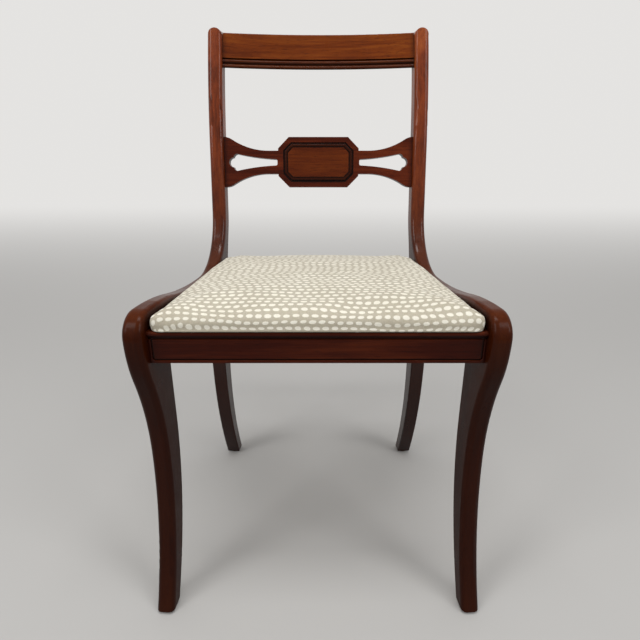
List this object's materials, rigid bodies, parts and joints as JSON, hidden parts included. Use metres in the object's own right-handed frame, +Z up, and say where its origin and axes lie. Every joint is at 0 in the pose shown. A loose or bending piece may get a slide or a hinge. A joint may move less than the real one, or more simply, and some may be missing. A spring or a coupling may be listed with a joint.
{
  "type": "regency side chair",
  "caption": "Mahogany side chair with sabre legs, curved one-piece side frames, bowed crest, pierced cross rail with octagonal tablet, and a lift-out padded fabric seat.",
  "frame": {"origin": "on the floor, at the middle of the chair's width and depth", "axes": "+Z up, -Y towards the chair's front, +X to the right for someone who looks at its front"},
  "size_m": [0.462, 0.483, 0.8235],
  "materials": {
    "mahogany": "dark red-brown polish, satin gloss",
    "figured_mahogany": "red-brown polish with visible straight grain",
    "beech": "plain unfinished",
    "plywood": "sanded, unfinished",
    "foam": "open-cell foam",
    "upholstery": "woven greige cloth with ivory oval spots",
    "steel": "zinc plated",
    "glide_plastic": "brown moulded"
  },
  "bodies": {
    "chair_frame": {"left_front_leg": "mahogany", "right_front_leg": "mahogany", "left_side_rail": "mahogany", "right_side_rail": "mahogany", "left_back_post": "mahogany", "right_back_post": "mahogany", "front_rail": "mahogany", "back_rail": "mahogany", "crest_rail": "mahogany", "mid_rail": "mahogany", "tablet_panel": "figured_mahogany", "left_front_corner_block": "beech", "right_front_corner_block": "beech", "left_rear_corner_block": "beech", "right_rear_corner_block": "beech", "corner_block_screws": "steel", "front_rail_dowels": "beech", "back_rail_dowels": "beech", "side_rail_front_dowels": "beech", "side_rail_rear_dowels": "beech", "crest_rail_dowels": "beech", "mid_rail_dowels": "beech", "glides": "glide_plastic"},
    "drop_in_seat": {"seat_board": "plywood", "seat_padding": "foam", "seat_cover": "upholstery", "seat_tacks": "steel"}
  },
  "joints": [
    {"name": "seat_lift", "type": "slide", "parent": "chair_frame", "child": "drop_in_seat", "axis": [0, 0, 1], "range_m": [0, 0.1]}
  ]
}
